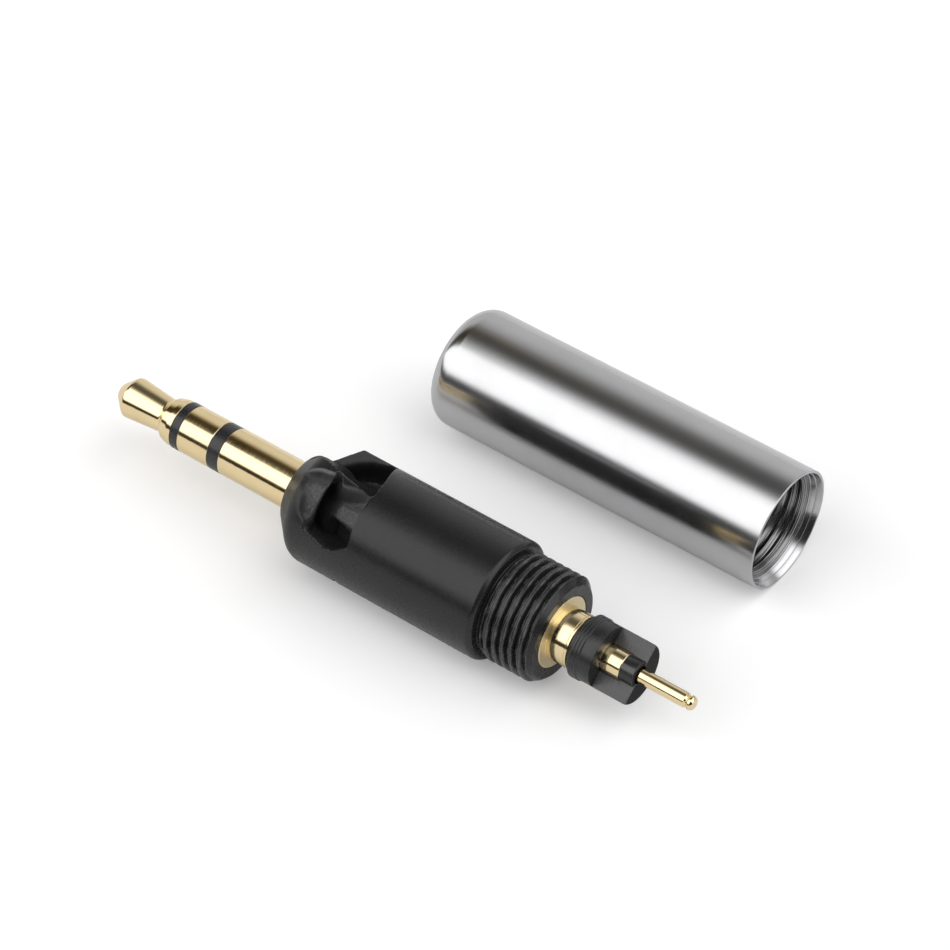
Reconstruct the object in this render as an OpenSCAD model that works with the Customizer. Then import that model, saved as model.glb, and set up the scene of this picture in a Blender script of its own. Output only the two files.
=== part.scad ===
// Twist-lock stereo jack plug, 2.5 mm, with its screw-on barrel taken off and lying beside it.
// +X runs from the tip to the solder end along the plug's axis, +Z is up, and the origin is on the axis
// at the front face of the body. Clock angles are read about +X from the top (+Z) towards the barrel (+Y).

/* [Contact shaft] */
// Diameter of the contact shaft
shaft_d = 2.5; // [2.4:0.05:3.5]
// Length of the tip contact, from its nose to the first black band
tip_len = 3.95; // [3.8:0.05:5]
// Length of the tapered nose
nose_len = 0.75; // [0.5:0.05:1]
// Diameter of the nose's blunt end
nose_end_d = 0.85; // [0.6:0.05:1]
// Rounding of the nose's blunt end
nose_end_round = 0.3; // [0.1:0.05:0.35]
// Largest diameter of the tip, just behind the nose
tip_d = 2.15; // [1.9:0.05:2.4]
// Rounding where the nose meets the largest diameter
tip_round = 0.2; // [0.05:0.05:0.3]
// Diameter of the neck behind the tip
neck_d = 1.75; // [1.2:0.05:1.85]
// Distance from the nose to the neck
neck_at = 3.0; // [2.4:0.05:3.05]
// Rounding at the bottom of the neck
neck_round = 0.1; // [0.05:0.01:0.12]
// Length of the steep flare behind the neck
flare_len = 0.25; // [0.2:0.05:0.3]
// Diameter at the top of the steep flare
flare_d = 2.25; // [2.1:0.05:2.3]
// Length of the slow swell from the flare to the shaft's full size
swell_len = 0.4; // [0.3:0.05:0.45]
// Width of the black band behind the tip
tip_band = 0.5; // [0.3:0.05:0.9]
// Length of the ring contact between the two bands
ring_len = 1.85; // [1.2:0.05:3]
// Width of the black band behind the ring contact
ring_band = 0.7; // [0.4:0.05:1.2]
// Length of the sleeve contact in front of the body
sleeve_len = 4.4; // [3:0.1:7]
// Step from the shaft's radius down to the shank that the body is moulded round
shank_step = 0.18; // [0.1:0.01:0.2]

/* [Conductors inside] */
// Diameter of the rod that carries the tip to the rear pin
rod_d = 0.62; // [0.5:0.02:0.7]
// Wall of the insulating tube around the rod
tip_insulation = 0.17; // [0.12:0.01:0.2]
// Wall of the ring contact's tube
ring_wall = 0.17; // [0.12:0.01:0.2]
// Wall of the insulating tube around the ring contact's tube
ring_insulation = 0.17; // [0.12:0.01:0.2]
// Gap on the radius between nested pieces
fit_gap = 0.02; // [0.01:0.005:0.03]

/* [Lock body] */
// Diameter of the body
body_d = 6.2; // [6:0.05:8]
// Length of the body from its front face to its rear edge
body_len = 12.2; // [10:0.1:18]
// Diameter of the flat front face
nose_d = 3.7; // [3.4:0.05:4]
// Length of the cone from the front face to the full diameter
nose_cone = 1.25; // [0.8:0.05:1.6]
// Rounding where the cone meets the full diameter
nose_round = 0.9; // [0.2:0.05:1.2]
// Rounding of the rear edge
rear_round = 0.35; // [0.1:0.05:0.5]

/* [Twist lock] */
// Number of slot and pocket pairs around the nose
lock_pairs = 2; // [1:1:2]
// Distance from the front face to the rear wall of the slots and pockets
lock_rear = 4.6; // [4.2:0.05:6]
// Depth of the entry slots below the body's surface
slot_depth = 1.2; // [1.05:0.05:1.25]
// Clock angle of the slot's near side, at its rear wall
slot_near = -8; // [-9:1:-2]
// Clock angle of the slot's far side
slot_far = 53; // [40:1:60]
// Slant of the slot's near side
slot_slant = 10; // [0:1:12]
// Distance from the front face to the deeper rear end of the slot
bay_at = 2.5; // [2.2:0.05:3]
// Extra depth of the slot's rear end
bay_step = 0.25; // [0.1:0.05:0.35]
// How far the rear end turns under the lip beyond the slot's far side, in degrees
bay_sweep = 32; // [15:1:34]
// Thickness of the lip over the turned part of the slot
bay_lip = 0.45; // [0.3:0.05:0.6]
// Set-back of the lead-in cone beyond the first slot's far side
lead_in = 0.55; // [0.1:0.05:0.7]
// Width of the lead-in cone, in degrees
lead_sweep = 24; // [10:1:28]
// Distance from the front face to the pocket's upright front wall
pocket_at = 2.5; // [2.4:0.05:2.6]
// Depth of the pocket at the foot of its front wall
pocket_depth = 1.3; // [1.1:0.05:1.35]
// Length of the steep part of the pocket's floor
pocket_dip = 0.6; // [0.4:0.05:0.7]
// Depth of the pocket where its ramp starts
ramp_depth = 0.95; // [0.85:0.05:1]
// Depth of the pocket where its ramp meets the rear wall
ramp_end_depth = 0.35; // [0.2:0.05:0.5]
// Clock angle of the pocket's side next to the slot
pocket_near = -9; // [-12:1:-8]
// Clock angle of the pocket's outer side
pocket_far = -69; // [-72:1:-60]
// Distance from the front face to the corner of the tongue between slot and pocket
tongue_at = 3.1; // [3:0.05:3.3]
// Clock angle of the tongue's corner
tongue_clock = -18; // [-20:1:-16]
// Slant of the tongue's front side
tongue_front = 60; // [50:1:65]
// Slant of the tongue's long side
tongue_slant = 19; // [10:1:20]
// Lean of the tongue's long side from upright
tongue_lean = 35; // [20:1:40]
// Radius of the round hollow in front of the pocket
hollow_r = 3.2; // [2.8:0.05:3.6]
// Depth of the hollow below the body's surface
hollow_depth = 0.45; // [0.3:0.05:0.55]
// Clock angle of the hollow's middle
hollow_clock = -34; // [-38:1:-32]
// Distance from the front face to the hollow's middle
hollow_at = 2.3; // [2.1:0.05:2.4]

/* [Thread] */
// Step from the body's radius down to the thread's crest
thread_step = 0.325; // [0.1:0.005:0.5]
// Height of the thread
thread_depth = 0.26; // [0.15:0.01:0.35]
// Length of the relief groove between the body and the thread
relief_len = 0.05; // [0.02:0.01:0.5]
// Length over which the thread runs in to its full height
run_in = 0.45; // [0.2:0.05:0.8]
// Length of the threaded stretch
thread_len = 2.7; // [1.5:0.05:4]
// Length of the chamfer at the end of the thread
thread_chamfer = 0.35; // [0.1:0.05:0.5]

/* [Solder end] */
// Step from the shaft's radius to the sleeve's bare rear tube
tube_step = 0.125; // [0.05:0.005:0.2]
// Length of the bare rear tube behind the flange
tube_len = 1.12; // [0.6:0.02:2]
// Step from the rear tube's radius to the flange
flange_step = 0.5; // [0.3:0.05:0.7]
// Thickness of the flange
flange_t = 0.6; // [0.3:0.05:1.2]
// Diameter of the terminal block
block_d = 3.1; // [2.9:0.05:3.2]
// Length of the terminal block
block_len = 3.33; // [3:0.01:5]
// Height of the collar at the front of the terminal block
collar_step = 0.06; // [0.03:0.01:0.15]
// Length of the collar
collar_len = 0.55; // [0.4:0.05:0.7]
// Length of the seat between the rear tube and the collar
seat_len = 0.2; // [0.1:0.05:0.3]
// Step from the rear tube's radius down to the seat
seat_step = 0.07; // [0.03:0.01:0.15]
// Distance from the front of the block to its window
window_at = 1.45; // [1:0.05:1.7]
// Clock angle that the window faces
window_clock = -38; // [-90:1:90]
// Height of the window's flat above the axis
window_level = 0.05; // [-0.1:0.01:0.3]
// Bare length of the ring contact's tube in the window
ring_bare = 1.05; // [0.6:0.05:1.3]
// Step from the ring tube's radius down to the block's core behind it
core_step = 0.03; // [0.01:0.01:0.1]
// Diameter of the solder pin behind the block
pin_d = 0.74; // [0.66:0.02:0.8]
// Length of the solder pin behind the block
pin_len = 3.0; // [2:0.1:5]
// Distance from the pin's end to its groove
pin_groove_at = 0.32; // [0.25:0.01:0.6]
// Depth of the pin's groove
pin_groove = 0.05; // [0.02:0.01:0.1]

/* [Barrel] */
// Step from the body's radius to the barrel's radius
barrel_step = 0.05; // [0.02:0.01:0.4]
// Length of the barrel
barrel_len = 19.4; // [16:0.1:30]
// Rounding of the barrel's cable end
barrel_round = 1.0; // [0.4:0.05:1.4]
// Thickness of the barrel's end wall
barrel_end = 1.2; // [0.8:0.05:2]
// Diameter of the cable hole in the end wall
cable_d = 3.2; // [1.5:0.1:3.4]
// Depth of the smooth coned lip inside the barrel's mouth
lip_depth = 0.6; // [0.3:0.05:1.2]
// Gap on the radius between the thread's crest and the inner end of the lip
lip_gap = 0.02; // [0.01:0.01:0.05]
// How much wider the lip is at the mouth, on the radius
lip_flare = 0.22; // [0.1:0.01:0.24]
// Gap on the radius between the male and the female thread
thread_gap = 0.06; // [0.02:0.01:0.1]
// Where the barrel's mouth lies along the plug
barrel_mouth_x = 20.1; // [10:0.1:30]
// Distance between the plug's axis and the barrel's axis
barrel_side = 11.65; // [9:0.05:20]

/* [Hidden] */
$fn = 96;
arc_steps = 6;
edge = 0.04;
cut = 1;

shaft_r = shaft_d / 2;
shank_r = shaft_r - shank_step;
body_r = body_d / 2;
ring_band_x = -sleeve_len - ring_band;
ring_x = ring_band_x - ring_len;
tip_band_x = ring_x - tip_band;
nose_x = tip_band_x - tip_len;

rod_r = rod_d / 2;
tip_bore_r = rod_r + fit_gap;
tip_tube_r = tip_bore_r + tip_insulation;
ring_bore_r = tip_tube_r + fit_gap;
ring_tube_r = ring_bore_r + ring_wall;
band_bore_r = ring_tube_r + fit_gap;
band_tube_r = band_bore_r + ring_insulation;
sleeve_bore_r = band_tube_r + fit_gap;

thread_r = body_r - thread_step;
root_r = thread_r - thread_depth;
thread_x = body_len + relief_len;
body_end = thread_x + thread_len + thread_chamfer;

tube_r = shaft_r + tube_step;
flange_r = tube_r + flange_step;
tube_end = body_end + tube_len;
block_r = block_d / 2;
block_end = tube_end + block_len;
window_x = tube_end + window_at;
ring_end = window_x + ring_bare;
core_r = ring_tube_r - core_step;
pin_end = block_end + pin_len;

slot_r = body_r - slot_depth;
bay_r = slot_r - bay_step;

barrel_r = body_r + barrel_step;
barrel_bore_r = root_r + thread_gap;
lip_r = thread_r + lip_gap;

gold = [0.83, 0.70, 0.42];
black = [0.13, 0.13, 0.14];
chrome = [0.80, 0.81, 0.82];

function unit(v) = v / norm(v);

// Points of an arc that rounds the corner at b between a and c
function corner(a, b, c, r) =
    let (
        u = unit(a - b),
        v = unit(c - b),
        half = acos(u * v) / 2,
        middle = b + unit(u + v) * r / sin(half),
        from = b + u * r / tan(half) - middle,
        to = b + v * r / tan(half) - middle,
        start = atan2(from[1], from[0]),
        turn = atan2(to[1], to[0]) - start,
        sweep = turn > 180 ? turn - 360 : turn < -180 ? turn + 360 : turn
    )
    [
        for (i = [0 : arc_steps])
            let (a = start + sweep * i / arc_steps)
            middle + r * [cos(a), sin(a)]
    ];

// An outline of [radius, axial place, rounding] corners with its rounded corners worked out
function rounded(list) =
    let (n = len(list))
    [
        for (i = [0 : n - 1])
            let (
                a = [list[(i + n - 1) % n][0], list[(i + n - 1) % n][1]],
                b = [list[i][0], list[i][1]],
                c = [list[(i + 1) % n][0], list[(i + 1) % n][1]]
            )
            each list[i][2] > 0 ? corner(a, b, c, list[i][2]) : [b]
    ];

// A solid turned about the plug's axis from an outline of [radius, axial place] points
module turned(outline) {
    rotate([0, 90, 0])
        rotate_extrude()
            polygon(outline);
}

// A part of a turned solid between two clock angles
module turned_sector(outline, from, to) {
    rotate([0, 90, 0])
        rotate_extrude(start = 180 - to, angle = to - from)
            polygon(outline);
}

// A plain round bar along the axis
module bar(r, from, to) {
    translate([from, 0, 0])
        rotate([0, 90, 0])
            cylinder(h = to - from, r = r);
}

// Everything on one side of a plane through a place on the body's surface, slanted and leaning
module one_side(clock, at, slant, lean, side) {
    rotate([-clock, 0, 0])
        translate([at, 0, body_r])
            rotate([-lean, 0, slant])
                translate([-body_d, side > 0 ? 0 : -body_d, -body_d])
                    cube([2 * body_d, body_d, 2 * body_d]);
}

module tip_contact() {
    pin_r = pin_d / 2;
    point = rounded([
        [0, nose_x, 0],
        [nose_end_d / 2, nose_x, nose_end_round],
        [tip_d / 2, nose_x + nose_len, tip_round],
        [neck_d / 2, nose_x + neck_at, neck_round],
        [flare_d / 2, nose_x + neck_at + flare_len, neck_round],
        [shaft_r - edge / 2, nose_x + neck_at + flare_len + swell_len, swell_len / 2],
        [shaft_r - edge / 2, tip_band_x, 0],
        [0, tip_band_x, 0]
    ]);
    pin = rounded([
        [0, tip_band_x, 0],
        [rod_r, tip_band_x, 0],
        [rod_r, block_end, 0],
        [pin_r, block_end, 0],
        [pin_r, pin_end - pin_groove_at - pin_groove, 0],
        [pin_r - pin_groove, pin_end - pin_groove_at, 0],
        [pin_r, pin_end - pin_groove_at + pin_groove, 0],
        [pin_r, pin_end, pin_r / 2],
        [0, pin_end, 0]
    ]);
    color(gold)
        union() {
            turned(point);
            turned(pin);
        }
}

module tip_insulator() {
    color(black)
        difference() {
            union() {
                bar(shaft_r, tip_band_x, ring_x);
                bar(tip_tube_r, ring_x, ring_end);
            }
            bar(tip_bore_r, tip_band_x - cut, ring_end + cut);
        }
}

module ring_contact() {
    color(gold)
        difference() {
            union() {
                bar(shaft_r, ring_x, ring_band_x);
                bar(ring_tube_r, ring_band_x, ring_end);
            }
            bar(ring_bore_r, ring_x - cut, ring_end + cut);
        }
}

module ring_insulator() {
    color(black)
        difference() {
            union() {
                bar(shaft_r, ring_band_x, -sleeve_len);
                bar(band_tube_r, -sleeve_len, tube_end);
            }
            bar(band_bore_r, ring_band_x - cut, tube_end + cut);
        }
}

module sleeve_contact() {
    color(gold)
        difference() {
            union() {
                bar(shaft_r, -sleeve_len, 0);
                bar(shank_r, 0, body_end - flange_t);
                bar(flange_r, body_end - flange_t, body_end);
                bar(tube_r, body_end, tube_end);
            }
            bar(sleeve_bore_r, -sleeve_len - cut, tube_end + cut);
        }
}

// The window is milled flat down to the axis and leaves the core standing as a half-round rib
module block_window() {
    difference() {
        rotate([-window_clock, 0, 0])
            translate([window_x, -block_d, window_level])
                cube([block_len, 2 * block_d, block_d]);
        bar(core_r, window_x, block_end + cut);
    }
}

module terminal_block() {
    collar_r = block_r + collar_step;
    outline = rounded([
        [0, tube_end, 0],
        [tube_r - seat_step, tube_end, 0],
        [tube_r - seat_step, tube_end + seat_len, 0],
        [collar_r, tube_end + seat_len, edge],
        [collar_r, tube_end + seat_len + collar_len, 0],
        [block_r, tube_end + seat_len + collar_len, 0],
        [block_r, block_end, 2 * edge],
        [0, block_end, 0]
    ]);
    color(black)
        difference() {
            turned(outline);
            block_window();
            bar(band_bore_r, tube_end - cut, ring_end);
            bar(tip_bore_r, tube_end, block_end + cut);
        }
}

// An entry slot opens at the front face, deepens at its rear end and turns there under a lip
module entry_slot() {
    channel = [
        [slot_r, -cut],
        [body_d, -cut],
        [body_d, lock_rear],
        [bay_r, lock_rear],
        [bay_r, bay_at],
        [slot_r, bay_at - bay_step]
    ];
    bay = [
        [bay_r, bay_at],
        [body_r - bay_lip, bay_at],
        [body_r - bay_lip, lock_rear],
        [bay_r, lock_rear]
    ];
    intersection() {
        turned_sector(channel, slot_near - 2 * slot_slant, slot_far);
        one_side(slot_near, lock_rear, -slot_slant, 0, 1);
    }
    turned_sector(bay, slot_far - cut, slot_far + bay_sweep);
}

// The land beyond the first slot is turned back to a cone that leads the mating lug in
module lead_in_cone() {
    slope = nose_cone / (body_r - nose_d / 2);
    cone = [
        [slot_r, -cut],
        [body_r + cut, -cut],
        [body_r + cut, lead_in + slope * (body_r + cut - nose_d / 2)],
        [slot_r, lead_in + slope * (slot_r - nose_d / 2)]
    ];
    turned_sector(cone, slot_far - cut, slot_far + lead_sweep);
}

// A lock pocket has an upright front wall, a floor that ramps up to its rear wall and a tongue beside it
module lock_pocket() {
    outline = [
        [body_r - pocket_depth, pocket_at],
        [body_r + cut, pocket_at],
        [body_r + cut, lock_rear],
        [body_r - ramp_end_depth, lock_rear],
        [body_r - ramp_depth, pocket_at + pocket_dip]
    ];
    intersection() {
        turned_sector(outline, pocket_far, pocket_near);
        union() {
            one_side(tongue_clock, tongue_at, -tongue_front, 0, -1);
            one_side(tongue_clock, tongue_at, tongue_slant, tongue_lean, -1);
        }
    }
}

// The round hollow in front of a pocket ends at the pocket's front wall
module pocket_hollow() {
    intersection() {
        rotate([-hollow_clock, 0, 0])
            translate([hollow_at, 0, body_r - hollow_depth + hollow_r])
                sphere(r = hollow_r);
        bar(body_d, 0, pocket_at + edge);
    }
}

module lock_body() {
    outline = rounded([
        [0, 0, 0],
        [nose_d / 2, 0, nose_round / 4],
        [body_r, nose_cone, nose_round],
        [body_r, body_len, rear_round],
        [root_r, body_len, 0],
        [root_r, thread_x, 0],
        [thread_r, thread_x + run_in, 0],
        [thread_r, body_end - thread_chamfer, 0],
        [thread_r - thread_chamfer, body_end, edge],
        [0, body_end, 0]
    ]);
    color(black)
        difference() {
            turned(outline);
            bar(shank_r + fit_gap, -cut, body_end);
            bar(flange_r + fit_gap, body_end - flange_t, body_end + cut);
            for (i = [0 : lock_pairs - 1])
                rotate([i * 360 / lock_pairs, 0, 0]) {
                    entry_slot();
                    lock_pocket();
                    pocket_hollow();
                }
            lead_in_cone();
        }
}

// The barrel rests on the same surface as the body, with its mouth towards the solder end
module barrel() {
    mouth = 0;
    outside = rounded([
        [0, mouth - barrel_len, 0],
        [barrel_r, mouth - barrel_len, barrel_round],
        [barrel_r, mouth, edge],
        [0, mouth, 0]
    ]);
    lip = [
        [0, mouth - lip_depth],
        [lip_r, mouth - lip_depth],
        [lip_r + lip_flare, mouth],
        [lip_r + lip_flare, mouth + cut],
        [0, mouth + cut]
    ];
    color(chrome)
        translate([barrel_mouth_x, barrel_side, barrel_r - body_r])
            difference() {
                turned(outside);
                turned(lip);
                bar(barrel_bore_r, mouth - barrel_len + barrel_end, mouth);
                bar(cable_d / 2, mouth - barrel_len - cut, mouth);
            }
}

tip_contact();
tip_insulator();
ring_contact();
ring_insulator();
sleeve_contact();
terminal_block();
lock_body();
barrel();
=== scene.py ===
import math

import bmesh
import bpy
from mathutils import Matrix, Vector, noise


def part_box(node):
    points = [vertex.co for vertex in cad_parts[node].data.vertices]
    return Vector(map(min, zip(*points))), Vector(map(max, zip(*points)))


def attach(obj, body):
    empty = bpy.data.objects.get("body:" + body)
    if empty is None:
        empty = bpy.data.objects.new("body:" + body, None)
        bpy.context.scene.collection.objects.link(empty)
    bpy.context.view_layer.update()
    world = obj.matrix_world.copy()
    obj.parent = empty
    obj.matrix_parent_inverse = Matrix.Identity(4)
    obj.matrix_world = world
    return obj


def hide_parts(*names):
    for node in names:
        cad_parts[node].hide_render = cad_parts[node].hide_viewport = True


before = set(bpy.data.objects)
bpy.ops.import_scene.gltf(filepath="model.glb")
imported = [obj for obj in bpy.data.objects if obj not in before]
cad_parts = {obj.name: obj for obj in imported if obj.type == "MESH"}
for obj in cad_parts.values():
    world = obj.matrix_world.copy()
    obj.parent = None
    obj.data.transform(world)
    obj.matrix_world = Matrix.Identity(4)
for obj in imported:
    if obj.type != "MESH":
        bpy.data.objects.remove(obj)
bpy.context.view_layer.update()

# Sizes, in millimetres along the plug's axis and out from it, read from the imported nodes
# where they have them

MM = 0.001


def box_mm(node):
    """The low and high corners of a node's box."""
    low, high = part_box(node)
    return low / MM, high / MM


TIP_LOW, TIP_HIGH = box_mm("tip_contact")
NOSE_X = TIP_LOW.x
PIN_END_X = TIP_HIGH.x
TIP_BAND_X = box_mm("tip_insulator")[0].x
RING_LOW, RING_HIGH = box_mm("ring_contact")
RING_X = RING_LOW.x
RING_END_X = RING_HIGH.x
SHAFT_R = RING_HIGH.y
RING_BAND_X = box_mm("ring_insulator")[0].x
SLEEVE_LOW, SLEEVE_HIGH = box_mm("sleeve_contact")
SLEEVE_X = SLEEVE_LOW.x
TUBE_END_X = SLEEVE_HIGH.x
FLANGE_R = SLEEVE_HIGH.y
BLOCK_END_X = box_mm("terminal_block")[1].x
BODY_LOW, BODY_HIGH = box_mm("lock_body")
BODY_R = BODY_HIGH.y
BODY_END_X = BODY_HIGH.x
FLOOR_Z = BODY_LOW.z
BARREL_LOW, BARREL_HIGH = box_mm("barrel")
BARREL_R = (BARREL_HIGH.y - BARREL_LOW.y) / 2
BARREL_LEN = BARREL_HIGH.x - BARREL_LOW.x
BARREL_MOUTH = Vector((
    BARREL_HIGH.x,
    (BARREL_LOW.y + BARREL_HIGH.y) / 2,
    (BARREL_LOW.z + BARREL_HIGH.z) / 2,
))

# Tubes of the contacts, one in the other

ROD_R = 0.31
TIP_BORE_R = 0.33
TIP_TUBE_R = 0.50
RING_BORE_R = 0.52
RING_TUBE_R = 0.69
BAND_BORE_R = 0.71
BAND_TUBE_R = 0.88
SLEEVE_BORE_R = 0.90
SHANK_R = 1.07
TUBE_R = 1.375
FLANGE_T = 0.6
FIT = 0.02

# Body and thread

NOSE_R = 1.85
NOSE_CONE = 1.25
BODY_LEN = 12.2
THREAD_X = 12.25
THREAD_RUN_IN = 0.45
THREAD_R = 2.775
THREAD_DEPTH = 0.26
THREAD_PITCH = 0.475
THREAD_PHASE = 0.745
THREAD_CREST = 0.30
THREAD_FLANK = 0.46
INNER_DEPTH = 0.09
END_CHAMFER = 0.35

# Block behind the body, with its window and pin

BLOCK_R = 1.55
COLLAR_R = 1.61
CORE_R = 0.66
WINDOW_X = TUBE_END_X + 1.45
WINDOW_CLOCK = math.radians(-38)
WINDOW_LEVEL = 0.05
PIN_R = 0.37

# Barrel

BARREL_BORE_R = 2.575
LIP_MOUTH_R = 3.015
LIP_INNER_R = 2.795
BARREL_LIP = 0.6
BARREL_WALL = 1.2
BARREL_THREAD = 5.5
CABLE_R = 1.6

# Shaping helpers

ARC_STEPS = 8
GUARD = 0.03
SLACK = 1.5
WELD = 1e-5
NEAR = 1e-6


def arc_at(before, corner, after, radius):
    """Points of the arc that rounds a corner, with a guard point on the straight to each side."""
    to_before = (before - corner).normalized()
    to_after = (after - corner).normalized()
    half = math.acos(max(-1.0, min(1.0, to_before.dot(to_after)))) / 2
    reach = radius / math.tan(half)
    middle = corner + (to_before + to_after).normalized() * radius / math.sin(half)
    start = (corner + to_before * reach - middle).normalized()
    end = (corner + to_after * reach - middle).normalized()
    points = []
    if (before - corner).length > reach + 2 * GUARD:
        points.append(corner + to_before * (reach + GUARD))
    for step in range(ARC_STEPS + 1):
        points.append(middle + start.slerp(end, step / ARC_STEPS) * radius)
    if (after - corner).length > reach + 2 * GUARD:
        points.append(corner + to_after * (reach + GUARD))
    return points


def rounded(corners, closed=True):
    """An outline of (place along the axis, radius, rounding) corners with its arcs worked out."""
    places = [Vector(corner[:2]) for corner in corners]
    outline = []
    for index, corner in enumerate(corners):
        rounding = corner[2]
        inner = closed or 0 < index < len(corners) - 1
        if rounding and inner:
            after = places[(index + 1) % len(places)]
            outline += arc_at(places[index - 1], places[index], after, rounding)
        else:
            outline.append(places[index])
    return outline


def refined(outline, step_at):
    """The outline with points added where its points lie further apart than step_at(x) allows."""
    fine = [outline[0]]
    for point in outline[1:]:
        while (point - fine[-1]).length > SLACK * step_at(fine[-1].x):
            fine.append(fine[-1] + (point - fine[-1]).normalized() * step_at(fine[-1].x))
        fine.append(point)
    return fine


def spun(outline, steps, closed=True):
    """A bmesh turned about the plug's axis from an outline."""
    shape = bmesh.new()
    ring = [shape.verts.new((point.x, 0, point.y)) for point in outline]
    ends = ring[1:] + ring[:1] if closed else ring[1:]
    lines = [shape.edges.new(pair) for pair in zip(ring, ends)]
    bmesh.ops.spin(
        shape, geom=ring + lines, cent=(0, 0, 0), axis=(1, 0, 0),
        angle=2 * math.pi, steps=steps, use_merge=True,
    )
    bmesh.ops.remove_doubles(shape, verts=shape.verts, dist=WELD)
    bmesh.ops.recalc_face_normals(shape, faces=shape.faces)
    return shape


SHARP = math.radians(38)


def finished(shape, name, node, material):
    """Turns a bmesh in millimetres into the named piece that stands for a node."""
    for face in shape.faces:
        face.smooth = True
    for line in shape.edges:
        line.smooth = len(line.link_faces) != 2 or line.calc_face_angle() < SHARP
    bmesh.ops.scale(shape, vec=(MM, MM, MM), verts=shape.verts)
    mesh = bpy.data.meshes.new(name)
    shape.to_mesh(mesh)
    shape.free()
    mesh.materials.append(material)
    piece = bpy.data.objects.new(name, mesh)
    bpy.context.scene.collection.objects.link(piece)
    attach(piece, "root")
    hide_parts(node)


def mark_faces(shape, name, belongs):
    """Gives every face a mark of 1 where it belongs to a finish and 0 elsewhere."""
    mark = shape.loops.layers.float_color.new(name)
    shape.normal_update()
    for face in shape.faces:
        level = 1.0 if belongs(face) else 0.0
        for corner in face.loops:
            corner[mark] = (level, level, level, 1.0)


def table_at(table, x):
    """A value read between the rows of a table of (x, value) pairs."""
    if x <= table[0][0]:
        return table[0][1]
    for (x0, v0), (x1, v1) in zip(table, table[1:]):
        if x <= x1:
            return v0 + (v1 - v0) * (x - x0) / (x1 - x0)
    return table[-1][1]


def soft_min(a, b, blend):
    """The smaller of two radii, rounded over where they cross."""
    near = max(blend - abs(a - b), 0.0) / blend
    return min(a, b) - near * near * blend / 4


# Materials


def group_of(name, inputs, outputs):
    """A new shader node group with its sockets and its two end nodes."""
    group = bpy.data.node_groups.new(name, "ShaderNodeTree")
    for socket, default in inputs.items():
        kind = "NodeSocketVector" if default is None else "NodeSocketFloat"
        made = group.interface.new_socket(socket, in_out="INPUT", socket_type=kind)
        if default is not None:
            made.default_value = default
    for socket in outputs:
        group.interface.new_socket(socket, in_out="OUTPUT", socket_type="NodeSocketFloat")
    start = group.nodes.new("NodeGroupInput")
    end = group.nodes.new("NodeGroupOutput")
    return group, start, end


def noise_node(tree, scale, detail, rough):
    """A noise texture with its three settings."""
    made = tree.nodes.new("ShaderNodeTexNoise")
    made.inputs["Scale"].default_value = scale
    made.inputs["Detail"].default_value = detail
    made.inputs["Roughness"].default_value = rough
    return made


def maths(tree, operation, first, second):
    """A math node whose two inputs are each a socket or a number."""
    made = tree.nodes.new("ShaderNodeMath")
    made.operation = operation
    for socket, value in zip(made.inputs, (first, second)):
        if isinstance(value, (int, float)):
            socket.default_value = value
        else:
            tree.links.new(value, socket)
    return made.outputs["Value"]


def make_grain():
    """Fine grain and wide handling marks, as even fields between 0 and 1."""
    inputs = {"Place": None, "Grain size": 2000.0, "Mark size": 300.0}
    group, start, end = group_of("grain_and_marks", inputs, ("Grain", "Marks"))
    grain = noise_node(group, 1.0, 4.0, 0.6)
    marks = noise_node(group, 1.0, 3.0, 0.5)
    for node, size, out in ((grain, "Grain size", "Grain"), (marks, "Mark size", "Marks")):
        group.links.new(start.outputs["Place"], node.inputs["Vector"])
        group.links.new(start.outputs[size], node.inputs["Scale"])
        group.links.new(node.outputs["Fac"], end.inputs[out])
    return group


def make_turning():
    """Fine rings left by turning, which run round the plug's axis."""
    group, start, end = group_of("turning_rings", {"Place": None, "Rings": 9000.0}, ("Rings",))
    split = group.nodes.new("ShaderNodeSeparateXYZ")
    group.links.new(start.outputs["Place"], split.inputs["Vector"])
    along = maths(group, "MULTIPLY", split.outputs["X"], start.outputs["Rings"])
    rings = group.nodes.new("ShaderNodeTexNoise")
    rings.noise_dimensions = "1D"
    rings.inputs["Scale"].default_value = 1.0
    rings.inputs["Detail"].default_value = 2.0
    group.links.new(along, rings.inputs["W"])
    group.links.new(rings.outputs["Fac"], end.inputs["Rings"])
    return group


GRAIN = make_grain()
TURNING = make_turning()


def finish_of(name, metallic, specular):
    """A new material with its shader and the piece's own coordinates."""
    material = bpy.data.materials.new(name)
    material.use_nodes = True
    tree = material.node_tree
    shader = tree.nodes["Principled BSDF"]
    shader.inputs["Metallic"].default_value = metallic
    shader.inputs["Specular IOR Level"].default_value = specular
    place = tree.nodes.new("ShaderNodeTexCoord").outputs["Object"]
    return material, tree, shader, place


def grouped(tree, group, place, **values):
    """An effect's node group placed in a material with its own values."""
    made = tree.nodes.new("ShaderNodeGroup")
    made.node_tree = group
    tree.links.new(place, made.inputs["Place"])
    for socket, value in values.items():
        made.inputs[socket.replace("_", " ")].default_value = value
    return made


def mixed(tree, factor, first, second):
    """A colour between two, by a factor socket."""
    made = tree.nodes.new("ShaderNodeMix")
    made.data_type = "RGBA"
    tree.links.new(factor, made.inputs["Factor"])
    colours = [socket for socket in made.inputs if socket.type == "RGBA"]
    for socket, colour in zip(colours, (first, second)):
        if isinstance(colour, tuple):
            socket.default_value = colour + (1,)
        else:
            tree.links.new(colour, socket)
    return [socket for socket in made.outputs if socket.type == "RGBA"][0]


def ranged(tree, value, low, high, to_low, to_high):
    """A value moved from one range to another and held inside it."""
    made = tree.nodes.new("ShaderNodeMapRange")
    sockets = ("From Min", "From Max", "To Min", "To Max")
    for socket, number in zip(sockets, (low, high, to_low, to_high)):
        made.inputs[socket].default_value = number
    tree.links.new(value, made.inputs["Value"])
    return made.outputs["Result"]


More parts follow.
